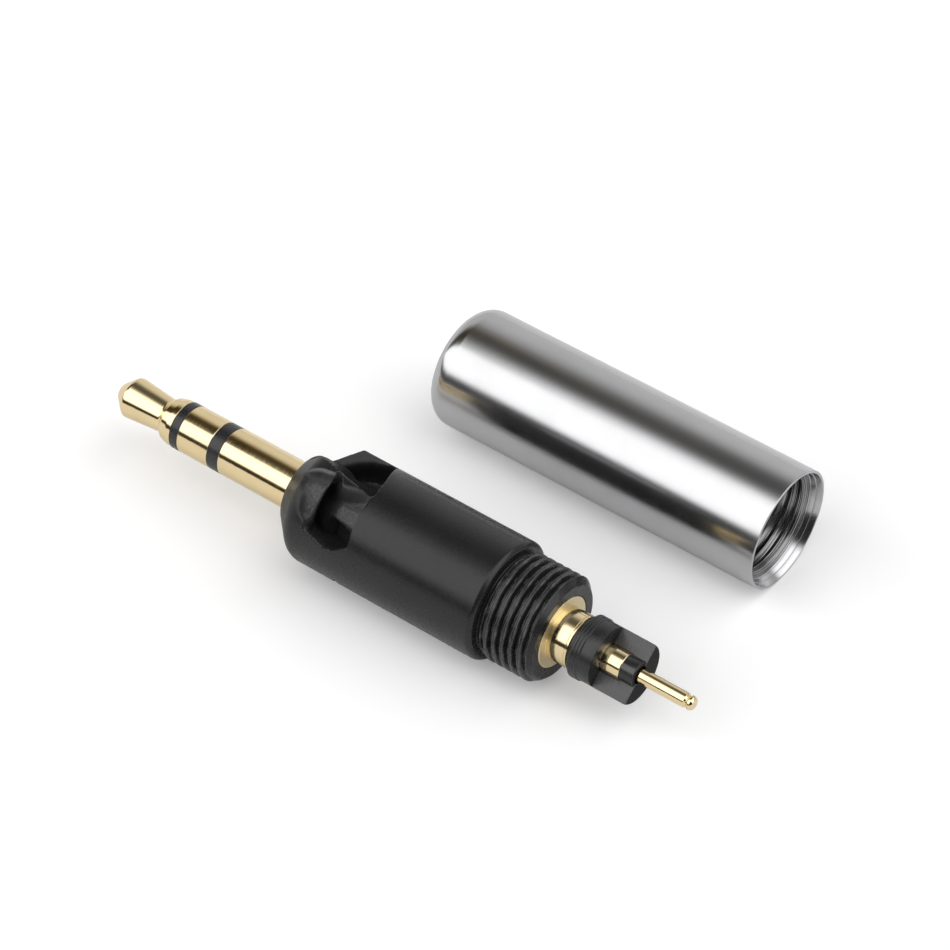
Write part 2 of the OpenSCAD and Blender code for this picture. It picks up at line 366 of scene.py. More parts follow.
def bumped(tree, shader, height, distance):
    """Feeds a height, at a distance in metres, to a shader as bump."""
    made = tree.nodes.new("ShaderNodeBump")
    made.inputs["Distance"].default_value = distance
    tree.links.new(height, made.inputs["Height"])
    tree.links.new(made.outputs["Normal"], shader.inputs["Normal"])


NOISE_SPAN = (0.3, 0.7)


def marked_colour(tree, grain, first, second):
    """A base colour that drifts between two with the handling marks."""
    return mixed(tree, ranged(tree, grain.outputs["Marks"], *NOISE_SPAN, 0, 1), first, second)


def attribute(tree, name):
    """A mark that the piece's own mesh carries."""
    made = tree.nodes.new("ShaderNodeAttribute")
    made.attribute_name = name
    return made.outputs["Fac"]


GOLD_CLEAN = (0.93, 0.76, 0.45)
GOLD_HANDLED = (0.90, 0.72, 0.41)
GOLD_BLASTED = (0.80, 0.70, 0.46)
GOLD_MARKS = (0.3, 0.75)
GOLD_ROUGHNESS = (0.07, 0.13)
GOLD_BUMP = 1.5e-6
MATT_ROUGHNESS = 0.34
MATT_GRAIN = 9.0


def gold_plating():
    """Polished gold plating, matt and paler on the faces marked as blasted."""
    material, tree, shader, place = finish_of("gold_plating", 1.0, 0.5)
    grain = grouped(tree, GRAIN, place, Grain_size=9000.0, Mark_size=900.0)
    rings = grouped(tree, TURNING, place, Rings=14000.0)
    matt = attribute(tree, "matt")
    colour = marked_colour(tree, grain, GOLD_CLEAN, GOLD_HANDLED)
    colour = mixed(tree, matt, colour, GOLD_BLASTED)
    tree.links.new(colour, shader.inputs["Base Color"])
    polish = ranged(tree, grain.outputs["Marks"], *GOLD_MARKS, *GOLD_ROUGHNESS)
    dull = maths(tree, "MULTIPLY", matt, MATT_ROUGHNESS)
    tree.links.new(maths(tree, "ADD", polish, dull), shader.inputs["Roughness"])
    blasted = maths(tree, "ADD", maths(tree, "MULTIPLY", matt, MATT_GRAIN), 1.0)
    rough = maths(tree, "MULTIPLY", grain.outputs["Grain"], blasted)
    height = maths(tree, "ADD", rough, rings.outputs["Rings"])
    bumped(tree, shader, height, GOLD_BUMP)
    return material


CHROME_CLEAN = (0.55, 0.55, 0.56)
CHROME_HANDLED = (0.52, 0.52, 0.525)
# darker painted shade for the inside of the bore
CHROME_BORE_SHADE = (0.33, 0.33, 0.335)
CHROME_ROUGHNESS = (0.17, 0.21)
CHROME_BUMP = 1e-6
BORE_RINGS = 75.0


def barrel_chrome():
    """Chrome plating, darker with painted shade inside the bore, and ringed by the tool where it is
    bored.
    """
    material, tree, shader, place = finish_of("barrel_chrome", 1.0, 0.5)
    grain = grouped(tree, GRAIN, place, Grain_size=7000.0, Mark_size=400.0)
    bored_and_shaded = attribute(tree, "bored_and_shaded")
    colour = marked_colour(tree, grain, CHROME_CLEAN, CHROME_HANDLED)
    # painted shade: darker chrome inside the bore
    colour = mixed(tree, bored_and_shaded, colour, CHROME_BORE_SHADE)
    tree.links.new(colour, shader.inputs["Base Color"])
    polish = ranged(tree, grain.outputs["Marks"], *NOISE_SPAN, *CHROME_ROUGHNESS)
    tree.links.new(polish, shader.inputs["Roughness"])
    rings = grouped(tree, TURNING, place, Rings=11000.0)
    turned = maths(tree, "MULTIPLY", rings.outputs["Rings"], bored_and_shaded)
    rough = maths(tree, "MULTIPLY", turned, BORE_RINGS)
    height = maths(tree, "ADD", grain.outputs["Grain"], rough)
    bumped(tree, shader, height, CHROME_BUMP)
    return material


BODY_CLEAN = (0.012, 0.012, 0.0124)
BODY_HANDLED = (0.016, 0.016, 0.0165)
BODY_CUT = (0.018, 0.018, 0.0185)
# coarse faces, paler with painted light where the hollows and ramps are lit
BODY_COARSE_LIT = (0.10, 0.10, 0.102)
# pale painted highlight along convex edges and the arched rims
BODY_PAINTED_HIGHLIGHT = (0.13, 0.13, 0.132)
# near-black painted shade for the deep pockets and the tongues
BODY_PAINTED_SHADE = (0.003, 0.003, 0.003)
BODY_ROUGHNESS = (0.24, 0.30)
CUT_ROUGHNESS = 0.2
PAINTED_SHADE_ROUGHNESS = 0.5
CUT_GRAIN = 3.0
SPECKLE = (0.38, 0.66, 0.25, 1.0)
PATCHES = (0.3, 0.6, 0.4, 1.0)
PLASTIC_BUMP = 5e-6


def body_plastic():
    """Satin black moulding: dull where the lock is cut, grainy on rough faces, paler with painted
    light on coarse faces, with a pale painted highlight on edges and painted shade in deep pockets.
    """
    material, tree, shader, place = finish_of("body_plastic", 0.0, 0.38)
    grain = grouped(tree, GRAIN, place, Grain_size=5200.0, Mark_size=420.0)
    speck = grouped(tree, GRAIN, place, Grain_size=9500.0, Mark_size=2600.0)
    cut = attribute(tree, "cut")
    speckle = ranged(tree, speck.outputs["Grain"], *SPECKLE)
    # painted light: coarse speckled faces made paler where they are lit
    coarse_and_painted_light = maths(tree, "MULTIPLY", attribute(tree, "coarse_and_painted_light"), speckle)
    patches = ranged(tree, speck.outputs["Marks"], *PATCHES)
    # painted highlight: pale edges and arched rims, broken into patches
    painted_highlight = maths(tree, "MULTIPLY", attribute(tree, "painted_highlight"), patches)
    colour = marked_colour(tree, grain, BODY_CLEAN, BODY_HANDLED)
    colour = mixed(tree, cut, colour, BODY_CUT)
    colour = mixed(tree, coarse_and_painted_light, colour, BODY_COARSE_LIT)
    colour = mixed(tree, painted_highlight, colour, BODY_PAINTED_HIGHLIGHT)
    # painted shade: near black in the deep pockets and on the tongues
    painted_shade = attribute(tree, "painted_shade")
    colour = mixed(tree, painted_shade, colour, BODY_PAINTED_SHADE)
    tree.links.new(colour, shader.inputs["Base Color"])
    smooth = ranged(tree, grain.outputs["Grain"], *NOISE_SPAN, *BODY_ROUGHNESS)
    in_cut = maths(tree, "MULTIPLY", cut, CUT_ROUGHNESS)
    in_painted_shade = maths(tree, "MULTIPLY", painted_shade, PAINTED_SHADE_ROUGHNESS)
    dull = maths(tree, "ADD", in_cut, in_painted_shade)
    tree.links.new(maths(tree, "ADD", smooth, dull), shader.inputs["Roughness"])
    depth = maths(tree, "ADD", maths(tree, "MULTIPLY", cut, CUT_GRAIN), 1.0)
    height = maths(tree, "MULTIPLY", grain.outputs["Grain"], depth)
    bumped(tree, shader, height, PLASTIC_BUMP)
    return material


BAND_CLEAN = (0.014, 0.014, 0.015)
BAND_HANDLED = (0.022, 0.022, 0.023)
# paler painted light on the up-facing milled flats
BAND_LIT_FLATS = (0.07, 0.07, 0.071)
# darker painted shade on the rear-facing sawn ends
BAND_SHADED_END = (0.004, 0.004, 0.004)
BAND_ROUGHNESS = (0.24, 0.34)
SAWN_ROUGHNESS = 0.6


def insulator_plastic():
    """Smooth black plastic, paler with painted light on the milled flats, and duller and darker
    with painted shade on sawn ends.
    """
    material, tree, shader, place = finish_of("insulator_plastic", 0.0, 0.5)
    grain = grouped(tree, GRAIN, place, Grain_size=6000.0, Mark_size=900.0)
    rings = grouped(tree, TURNING, place, Rings=9000.0)
    sawn_and_shaded = attribute(tree, "sawn_and_shaded")
    colour = marked_colour(tree, grain, BAND_CLEAN, BAND_HANDLED)
    # painted light on the up-facing flats
    colour = mixed(tree, attribute(tree, "milled"), colour, BAND_LIT_FLATS)
    # painted shade on the rear-facing ends, which are also rougher
    colour = mixed(tree, sawn_and_shaded, colour, BAND_SHADED_END)
    tree.links.new(colour, shader.inputs["Base Color"])
    smooth = ranged(tree, grain.outputs["Grain"], *NOISE_SPAN, *BAND_ROUGHNESS)
    dull = maths(tree, "MULTIPLY", sawn_and_shaded, SAWN_ROUGHNESS)
    tree.links.new(maths(tree, "ADD", smooth, dull), shader.inputs["Roughness"])
    height = maths(tree, "ADD", grain.outputs["Grain"], rings.outputs["Rings"])
    bumped(tree, shader, height, PLASTIC_BUMP)
    return material


GOLD = gold_plating()
CHROME = barrel_chrome()
BODY = body_plastic()
INSULATOR = insulator_plastic()

# Contact shaft. The nose has corners of (place behind its end, radius, rounding), and the groove
# near the pin's end has corners of (place before its end, depth under its skin, rounding)

FINE = 128
EDGE = 0.025
NOSE = [(0, 0.42, 0.3), (0.74, 1.07, 0.2), (2.98, 0.87, 0.2), (3.22, 1.12, 0.25)]
PIN_GROOVE = [(0.47, 0, 0.03), (0.38, 0.1, 0.04), (0.27, 0.01, 0.08), (0, 0.02, 0.2)]
TIP_TAPER = 0.3
TIP_R = SHAFT_R - 0.02

tip_outline = rounded([
    (NOSE_X, 0, 0),
    *[(NOSE_X + behind, radius, rounding) for behind, radius, rounding in NOSE],
    (TIP_BAND_X - TIP_TAPER, TIP_R, 0.5),
    (TIP_BAND_X, TIP_R, EDGE),
    (TIP_BAND_X, ROD_R, 0),
    (BLOCK_END_X, ROD_R, 0),
    (BLOCK_END_X, PIN_R, 0),
    *[(PIN_END_X - before, PIN_R - deep, rounding) for before, deep, rounding in PIN_GROOVE],
    (PIN_END_X, 0, 0),
], closed=False)
finished(spun(tip_outline, FINE, closed=False), "tip_and_pin", "tip_contact", GOLD)

finished(spun(rounded([
    (TIP_BAND_X, TIP_BORE_R, 0),
    (TIP_BAND_X, SHAFT_R, EDGE),
    (RING_X, SHAFT_R, EDGE),
    (RING_X, TIP_TUBE_R, 0),
    (RING_END_X, TIP_TUBE_R, EDGE),
    (RING_END_X, TIP_BORE_R, 0),
]), FINE), "tip_band", "tip_insulator", INSULATOR)

finished(spun(rounded([
    (RING_X, RING_BORE_R, 0),
    (RING_X, SHAFT_R, EDGE),
    (RING_BAND_X, SHAFT_R, EDGE),
    (RING_BAND_X, RING_TUBE_R, 0),
    (RING_END_X, RING_TUBE_R, 0.04),
    (RING_END_X, RING_BORE_R, 0),
]), FINE), "ring_and_tube", "ring_contact", GOLD)

finished(spun(rounded([
    (RING_BAND_X, BAND_BORE_R, 0),
    (RING_BAND_X, SHAFT_R, EDGE),
    (SLEEVE_X, SHAFT_R, EDGE),
    (SLEEVE_X, BAND_TUBE_R, 0),
    (TUBE_END_X, BAND_TUBE_R, 0),
    (TUBE_END_X, BAND_BORE_R, 0),
]), FINE), "ring_band", "ring_insulator", INSULATOR)

RIM = 0.14
RIM_LAND = 0.1
RIM_GROOVE = 0.03
FACING_REAR = 0.9

sleeve = spun(rounded([
    (SLEEVE_X, SLEEVE_BORE_R, 0),
    (SLEEVE_X, SHAFT_R, EDGE),
    (0, SHAFT_R, 0),
    (0, SHANK_R, 0),
    (BODY_END_X - FLANGE_T, SHANK_R, 0),
    (BODY_END_X - FLANGE_T, FLANGE_R, 0),
    (BODY_END_X, FLANGE_R, 0.05),
    (BODY_END_X, TUBE_R, 0.02),
    (TUBE_END_X - RIM, TUBE_R, 0.01),
    (TUBE_END_X - RIM, TUBE_R - RIM_GROOVE, 0.01),
    (TUBE_END_X - RIM_LAND, TUBE_R - RIM_GROOVE, 0.01),
    (TUBE_END_X - RIM_LAND, TUBE_R, 0.01),
    (TUBE_END_X, TUBE_R, EDGE),
    (TUBE_END_X, SLEEVE_BORE_R, 0),
]), FINE)


def on_flange(face):
    """Whether a face looks back from the flange, and not from the rim of the tube behind it."""
    between = (BODY_END_X + TUBE_END_X) / 2
    return face.normal.x > FACING_REAR and face.calc_center_median().x < between


mark_faces(sleeve, "matt", on_flange)
finished(sleeve, "sleeve_and_flange", "sleeve_contact", GOLD)

# Terminal block: turned with a ribbed collar, then milled flat down to the axis with its core
# left standing

COLLAR_GAP = 0.2
COLLAR_NECK = 0.07
COLLAR_RISE = 0.03
COLLAR_STEP = 0.05
COLLAR_LEN = 0.56
RIBS = 3
RIB_START = 0.08
RIB_PITCH = 0.16
RIB_TOP = 0.12
RIB_FOOT = 0.14
RIB_DEPTH = 0.025
PIN_HOLE = 0.1
PIN_HOLE_DEPTH = 0.3
PIN_HOLE_TAPER = 0.02
BLOCK_STEPS = 96
CORE_STEP = 0.06
CORE_ROOT = 1
WINDOW_SIZE = (6, 6, 3)
WINDOW_EDGE = 0.025
WINDOW_WELD = 1e-4
WINDOW_NEAR = 0.01
SHARP_EDGE = math.radians(50)
FACING_UP = 0.98


def carved(shape, cutter):
    """The shape with the cutter taken out of it."""
    scratch = []
    for label, source in (("work", shape), ("cutter", cutter)):
        mesh = bpy.data.meshes.new(label)
        source.to_mesh(mesh)
        source.free()
        scratch.append(bpy.data.objects.new(label, mesh))
        bpy.context.scene.collection.objects.link(scratch[-1])
    cut = scratch[0].modifiers.new("cut", "BOOLEAN")
    cut.operation = "DIFFERENCE"
    cut.solver = "EXACT"
    cut.object = scratch[1]
    graph = bpy.context.evaluated_depsgraph_get()
    result = bmesh.new()
    result.from_mesh(scratch[0].evaluated_get(graph).to_mesh())
    for item in scratch:
        mesh = item.data
        bpy.data.objects.remove(item)
        bpy.data.meshes.remove(mesh)
    return result


def terminal_block():
    """The block with its ribbed collar, its milled window and the core that stands in it."""
    collar = TUBE_END_X + COLLAR_GAP
    corners = [
        (TUBE_END_X, BAND_BORE_R, 0),
        (TUBE_END_X, TUBE_R - COLLAR_NECK, 0),
        (collar, TUBE_R - COLLAR_NECK, 0.02),
        (collar + COLLAR_RISE, COLLAR_R - COLLAR_STEP, 0.02),
    ]
    for rib in range(RIBS):
        start = collar + RIB_START + rib * RIB_PITCH
        corners += [
            (start, COLLAR_R, 0.02),
            (start + RIB_TOP, COLLAR_R, 0.02),
            (start + RIB_FOOT, COLLAR_R - RIB_DEPTH, 0.01),
        ]
    corners += [
        (collar + COLLAR_LEN, BLOCK_R, 0.02),
        (BLOCK_END_X, BLOCK_R, 0.1),
        (BLOCK_END_X, PIN_R + PIN_HOLE, 0.03),
        (BLOCK_END_X - PIN_HOLE_DEPTH, PIN_R + PIN_HOLE - PIN_HOLE_TAPER, 0),
        (BLOCK_END_X - PIN_HOLE_DEPTH, TIP_BORE_R, 0),
        (RING_END_X, TIP_BORE_R, 0),
        (RING_END_X, BAND_BORE_R, 0),
    ]
    block = spun(rounded(corners), BLOCK_STEPS)
    window = bmesh.new()
    bmesh.ops.create_cube(window, size=1)
    bmesh.ops.scale(window, vec=WINDOW_SIZE, verts=window.verts)
    middle = (WINDOW_X + WINDOW_SIZE[0] / 2, 0, WINDOW_LEVEL + WINDOW_SIZE[2] / 2)
    bmesh.ops.translate(window, vec=middle, verts=window.verts)
    bmesh.ops.rotate(window, matrix=Matrix.Rotation(-WINDOW_CLOCK, 3, "X"), verts=window.verts)
    core_end = BLOCK_END_X - CORE_STEP
    core = spun(rounded([
        (WINDOW_X - CORE_ROOT, 0, 0),
        (WINDOW_X - CORE_ROOT, CORE_R, 0),
        (core_end, CORE_R, CORE_STEP),
        (core_end, 0, 0),
    ], closed=False), BLOCK_STEPS, closed=False)
    block = carved(block, carved(window, core))
    bmesh.ops.remove_doubles(block, verts=block.verts, dist=WINDOW_WELD)
    bmesh.ops.recalc_face_normals(block, faces=block.faces)
    sharp = [
        line for line in block.edges
        if len(line.link_faces) == 2 and line.calc_face_angle() > SHARP_EDGE and line.is_convex
        and min(vert.co.x for vert in line.verts) > WINDOW_X - WINDOW_NEAR
    ]
    bmesh.ops.bevel(
        block, geom=sharp, offset=WINDOW_EDGE, offset_type="OFFSET", affect="EDGES",
        segments=2, profile=0.5, material=-1, clamp_overlap=True,
    )
    up = Vector((0, math.sin(WINDOW_CLOCK), math.cos(WINDOW_CLOCK)))

    def in_window(face):
        return face.calc_center_median().x > WINDOW_X

    # painted light: the milled flats that face up
    mark_faces(block, "milled", lambda face: in_window(face) and face.normal.dot(up) > FACING_UP)
    # painted shade and extra roughness: the ends that face rear
    mark_faces(block, "sawn_and_shaded", lambda face: in_window(face) and face.normal.x > FACING_REAR)
    return block


finished(terminal_block(), "windowed_block", "terminal_block", INSULATOR)

# Lock body: a turned body whose skin is pressed in at the slots and pockets and cut at the thread.
# x runs along the axis from the front face, a clock angle is in degrees, and a side is a length
# round the skin from the line that faces the camera. A table holds (place, value) rows, and a
# pair is the place where something starts and the place where it is full

CAMERA_SIDE = 36.5
LOCK_REAR = 4.62
LOCK_MARGIN = 0.4
LOCK_REACH = 100
WALL = 9.0
SOFT = 0.06

# Entry slots: floor radius by x, near wall by x, far wall, rear wall by clock angle, lip by x

SLOT_R = [(1.6, 1.90), (2.1, 1.65)]
SLOT_NEAR = [(1.97, 1.3), (4.65, -7.8)]
SLOT_FAR = 53.0
SLOT_REAR = [(-8.0, 4.55), (10.0, 4.4), (45.0, 3.8)]
SLOT_LIP_R = [(1.3, 1.9), (1.87, 2.3), (2.5, 2.66), (3.6, 2.95)]
FAR_SLOPE = 2.0
FAR_SWEEP = math.degrees((BODY_R - SLOT_R[1][1]) / FAR_SLOPE / BODY_R)
LEAD_IN = 0.55
LEAD_SWEEP = 24.0
LEAD_OVERLAP = 4
SLOT_UNDERCUT = 32.0
UNDERCUT_FROM = 30
IN_SLOT = (3.95, 3.8)
UNDER_LIP = (0, 0.35)

# Pockets: front crest by side, floor radius by x, upper wall with its slope and lower wall by x

CREST = [(-1.9, 2.45), (0.6, 2.48), (1.3, 2.60)]
POCKET_R = [(2.5, 1.55), (2.9, 1.85), (3.12, 2.16), (4.6, 2.74)]
POCKET_TOP = [
    (2.48, 1.40), (2.68, 1.38), (2.86, 1.0), (3.08, 0.60), (3.5, 0.58), (4.35, 0.80), (4.65, 0.86),
]
POCKET_TOP_WALL = [(2.62, WALL), (2.86, 4.0), (3.08, 2.3), (3.5, 1.6), (4.35, 0.6), (4.65, 0.55)]
POCKET_LOW = [(2.4, -1.50), (2.9, -1.70), (3.54, -1.88), (4.0, -1.82), (4.45, -1.5), (4.65, -1.4)]
CHANNEL_DEPTH = 0.7
CHANNEL_X = (2.9, 3.2)
CHANNEL_SIDE = (-0.55, -1.0)
TONGUE_SOFT = 0.3
TONGUE_START = (2.9, 3.3)
TONGUE_X = (2.5, 4.5)
TONGUE_SIDE = (0.3, 1.75)
POCKET_UNDERCUT = 0.6
POCKET_LOW_UNDERCUT = 14.0
POCKET_FRONT_X = (2.35, 2.45)
POCKET_REAR_X = (LOCK_REAR, LOCK_REAR - 0.1)
POCKET_SIDE = (2.3, 2.0)
LOW_WALL_SIDE = (-0.8, -1.5)
LOW_WALL_R = (2.7, 2.3)
FRONT_WALL_X = (3.15, 2.6)
FRONT_WALL_R = (2.55, 2.1)

# Hollows before the pockets: upper rim by x, front edge by side

SCOOP_DEPTH = 0.36
SCOOP_ROLL = 0.55
SCOOP_PAST_CREST = 0.15
SCOOP_TOP = [(0.5, 0.45), (0.75, 0.735), (1.25, 1.10), (1.75, 1.33), (2.25, 1.43), (2.7, 1.44)]
SCOOP_FRONT = [
    (-1.9, 2.95), (-1.55, 2.2), (-0.97, 1.6), (-0.1, 1.3), (0.4, 0.95), (0.735, 0.62), (1.4, 0.3),
]

# Looks: where the skin is dull, where painted shade darkens it, where it is coarse and paler with
# painted light, where a painted highlight pales its edges, and how rough its mould was

CUT_DEPTH = (0.03, 0.18)
PAINTED_SHADE_DEPTH = (0.95, 1.25)
TONGUE_PAINTED_SHADE = 0.4
NOSE_DULL = 0.7
NOSE_FADE = (1.9, 1.3)
COARSE_LIT_HOLLOW = (0.45, 0.95)
COARSE_LIT_FLOOR = 0.12
COARSE_LIT_FADE = 0.06
COARSE_LIT_X = (3.1, 3.4)
COARSE_LIT_SIDE = (-1.6, -1.0)
ARCH_BAND = (0.11, 0.04)
ARCH_FRONT = (0.9, 1.3)
ARCH_REAR = (2.65, 2.5)
HIGHLIGHT_EDGE = (0.002, 0.008)
LOCK_HIGHLIGHT = 0.03
THREAD_HIGHLIGHT = 0.8
MOULD_ROUGH = 0.022
MOULD_SCALE = 4.5
MOULD_NOISE = (0.8, 2.0, 4)
THREAD_ROUGH = 0.01
THREAD_SCALE = 6

# Mesh: steps round the body, spacing of its rows by x, and passes that smooth it

BODY_STEPS = 360
BODY_ROWS = [(4.9, 0.05), (5.1, 0.9), (11.6, 0.9), (11.8, 0.1), (12.1, 0.039)]
FRONT_KEPT = 0.2
SEAT_KEPT = 0.2
LOCK_PASSES = 2
TONGUE_PASSES = 6


def line_at(ends, x):
    """A value on the straight line through two (x, value) ends."""
    (x0, v0), (x1, v1) = ends
    return v0 + (v1 - v0) * (x - x0) / (x1 - x0)


def arc_mm(degrees):
    """A turn about the axis as a length round the body's skin."""
    return BODY_R * math.radians(degrees)


def slot_floor(x, clock):
    """How far out an entry slot leaves the body at this place."""
    side = arc_mm(clock)
    near = WALL * (arc_mm(line_at(SLOT_NEAR, x)) - side)
    far = FAR_SLOPE * (side - arc_mm(SLOT_FAR))
    rear = WALL * (x - table_at(SLOT_REAR, clock))
    return table_at(SLOT_R, x) + max(0.0, near, far, rear)


def lead_in_floor(x, clock):
    """How far out the cone beyond the first slot leaves the body."""
    side = arc_mm(clock)
    cone = max(SLOT_R[0][1], NOSE_R + (x - LEAD_IN) * (BODY_R - NOSE_R) / NOSE_CONE)
    before = WALL * (arc_mm(SLOT_FAR - LEAD_OVERLAP) - side)
    after = WALL * (side - arc_mm(SLOT_FAR + LEAD_SWEEP))
    return cone + max(0.0, before, after)


def share(value, start, full):
    """How far a value has gone from a start towards full, held between 0 and 1."""
    return min(1.0, max(0.0, (value - start) / (full - start)))


def pocket_floor(x, clock):
    """How far out the lock pocket leaves the body, and how softly: a floor, a ramp and a tongue."""
    side = arc_mm(clock + CAMERA_SIDE)
    front = WALL * (table_at(CREST, side) - x)
    rear = WALL * (x - LOCK_REAR)
    top = table_at(POCKET_TOP_WALL, x) * (side - table_at(POCKET_TOP, x))
    low = WALL * (table_at(POCKET_LOW, x) - side)
    soft = SOFT
    if top > max(front, rear, low):
        soft = SOFT + (TONGUE_SOFT - SOFT) * share(x, *TONGUE_START)
    channel = CHANNEL_DEPTH * share(side, *CHANNEL_SIDE) * share(x, *CHANNEL_X)
    return table_at(POCKET_R, x) - channel + max(0.0, front, rear, top, low), soft


def scoop_depth(x, clock):
    """Depth of the hollow before the pocket, sharp at its arched rim and faded out at its front."""
    side = arc_mm(clock + CAMERA_SIDE)
    below = share(table_at(SCOOP_TOP, x) - side, 0, SCOOP_ROLL)
    behind = share(x - table_at(SCOOP_FRONT, side), 0, 1)
    if x > CREST[-1][1] + SCOOP_PAST_CREST:
        return 0.0
    return SCOOP_DEPTH * (1 - (1 - below) ** 2) * behind * behind * (3 - 2 * behind)


def lock_skin(x, clock, radius):
    """The body's radius once both slots, hollows and pockets are cut."""
    for turn in (0, 180):
        local = (clock - turn + 180) % 360 - 180
        if abs(local) < LOCK_REACH:
            radius -= scoop_depth(x, local)
            radius = soft_min(radius, slot_floor(x, local), SOFT)
            radius = soft_min(radius, *pocket_floor(x, local))
    if abs(clock) < LOCK_REACH:
        radius = soft_min(radius, lead_in_floor(x, clock), SOFT)
    return radius


def facing(clock):
    """A clock angle brought round to the pair that it belongs to."""
    return (clock + 90) % 180 - 90


def coarse_lit_share(x, clock, made):
    """How rough the moulding is here, paler with painted light: the lower part of each hollow and
    the ramp of each pocket.
    """
    local = facing(clock)
    side = arc_mm(local + CAMERA_SIDE)
    below = share(table_at(SCOOP_TOP, x) - side, *COARSE_LIT_HOLLOW)
    hollow = below * scoop_depth(x, local) / SCOOP_DEPTH
    on_floor = share(table_at(POCKET_R, x) + COARSE_LIT_FLOOR - made, 0, COARSE_LIT_FADE)
    on_ramp = share(x, *COARSE_LIT_X) * on_floor * share(side, *COARSE_LIT_SIDE)
    return max(hollow, on_ramp)


def arch_share(x, clock):
    """How near this place is to the arched rim of a hollow, where a pale painted highlight goes."""
    side = arc_mm(facing(clock) + CAMERA_SIDE)
    off_rim = abs(side - table_at(SCOOP_TOP, x))
    return share(off_rim, *ARCH_BAND) * share(x, *ARCH_FRONT) * share(x, *ARCH_REAR)


def undercut(x, clock, radius):
    """How far a wall is hollowed out under its lip: round in degrees and along in millimetres."""
    turned = (clock + 180) % 180
    beyond = turned - SLOT_FAR
    across = share(turned, UNDERCUT_FROM, SLOT_FAR) if beyond < FAR_SWEEP + 1 else 0.0
    in_slot = share(x, *IN_SLOT)
    under_lip = share(table_at(SLOT_LIP_R, x) - radius, *UNDER_LIP) * in_slot
    upright = in_slot * max(0.0, min(beyond, 2 * FAR_SWEEP - beyond))
    side = arc_mm(facing(clock) + CAMERA_SIDE)
    in_pocket = share(x, *POCKET_FRONT_X) * share(x, *POCKET_REAR_X)
    in_pocket *= share(abs(side), *POCKET_SIDE)
    low = in_pocket * share(side, *LOW_WALL_SIDE) * share(radius, *LOW_WALL_R)
    front = in_pocket * share(x, *FRONT_WALL_X) * share(radius, *FRONT_WALL_R)
    around = SLOT_UNDERCUT * across * under_lip - upright - POCKET_LOW_UNDERCUT * low
    return around, -POCKET_UNDERCUT * front


def highlight_edges(shape):
    """Marks each outer edge with a pale painted highlight by how far its points stand out from
    their neighbours.
    """
    painted_highlight = shape.verts.layers.float["painted_highlight"]
    shape.normal_update()
    for vert in shape.verts:
        around = Vector()
        for line in vert.link_edges:
            around += line.other_vert(vert).co
        proud = (vert.co - around / len(vert.link_edges)).dot(vert.normal)
        edge = share(proud, *HIGHLIGHT_EDGE)
        vert[painted_highlight] = max(vert[painted_highlight], edge * (THREAD_HIGHLIGHT if vert.co.x > BODY_LEN else LOCK_HIGHLIGHT))


def thread_skin(x, clock, crest, inward):
    """The radius of a right-hand thread, cut inward from its crest or outward from its bore."""
    turn = (x / THREAD_PITCH + clock / 360 + THREAD_PHASE) % 1
    away = abs(turn - 0.5) * 2
    if not inward:
        return crest + INNER_DEPTH * (1 - math.cos(2 * math.pi * turn)) / 2
    return crest - THREAD_DEPTH * share((away - THREAD_CREST) / THREAD_FLANK, 0, 1)


